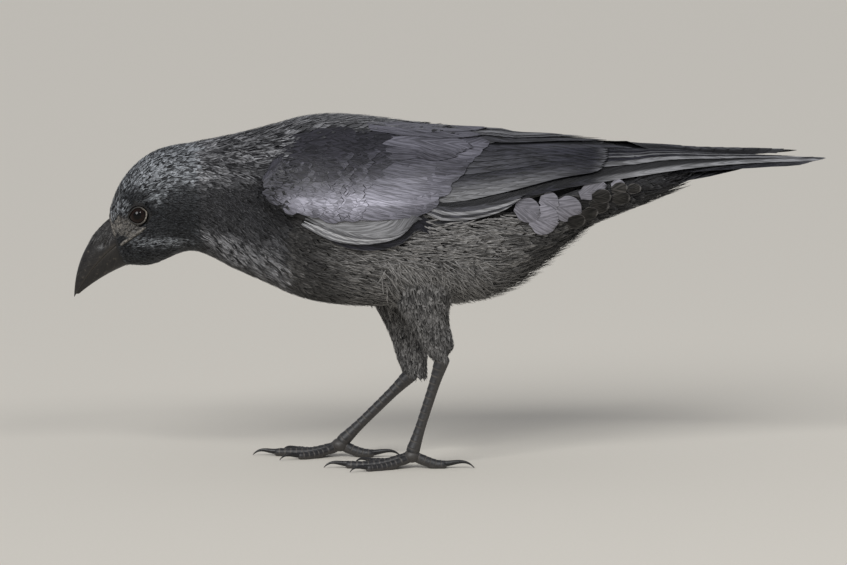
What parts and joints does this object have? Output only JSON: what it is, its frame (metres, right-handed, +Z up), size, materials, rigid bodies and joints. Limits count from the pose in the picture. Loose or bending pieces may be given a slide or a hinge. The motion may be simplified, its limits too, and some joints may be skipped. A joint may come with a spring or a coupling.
{
  "type": "carrion crow",
  "caption": "Life-size still model of a carrion crow standing with its back level, its head lowered and its bill pointing down to the ground, wings and tail folded.",
  "frame": {"origin": "bottom centre of the bird's bounding box, on the floor plane under its soles", "axes": "+Z up; -X the way the bird faces, so +X towards its tail; -Y its left side"},
  "size_m": [0.4384, 0.1034, 0.2036],
  "materials": {
    "plumage": "soft black body feathers with a faint blue-violet sheen",
    "quills": "satin blue-black flight feathers",
    "bill": "satin dark grey horn",
    "eye": "wet, very dark brown",
    "scales": "dull black scaly skin",
    "claw": "polished black horn"
  },
  "bodies": {
    "root": {"bill_upper": "bill", "bill_lower": "bill", "eye_left": "eye", "eye_right": "eye", "head": "plumage", "neck": "plumage", "trunk": "plumage", "tail": "quills", "wing_left": "plumage", "secondaries_left": "quills", "primaries_left": "quills", "wing_right": "plumage", "secondaries_right": "quills", "primaries_right": "quills", "thigh_left": "plumage", "shank_left": "scales", "toe_middle_left": "scales", "claw_middle_left": "claw", "toe_outer_left": "scales", "claw_outer_left": "claw", "toe_inner_left": "scales", "claw_inner_left": "claw", "toe_hind_left": "scales", "claw_hind_left": "claw", "thigh_right": "plumage", "shank_right": "scales", "toe_middle_right": "scales", "claw_middle_right": "claw", "toe_outer_right": "scales", "claw_outer_right": "claw", "toe_inner_right": "scales", "claw_inner_right": "claw", "toe_hind_right": "scales", "claw_hind_right": "claw"}
  },
  "joints": []
}
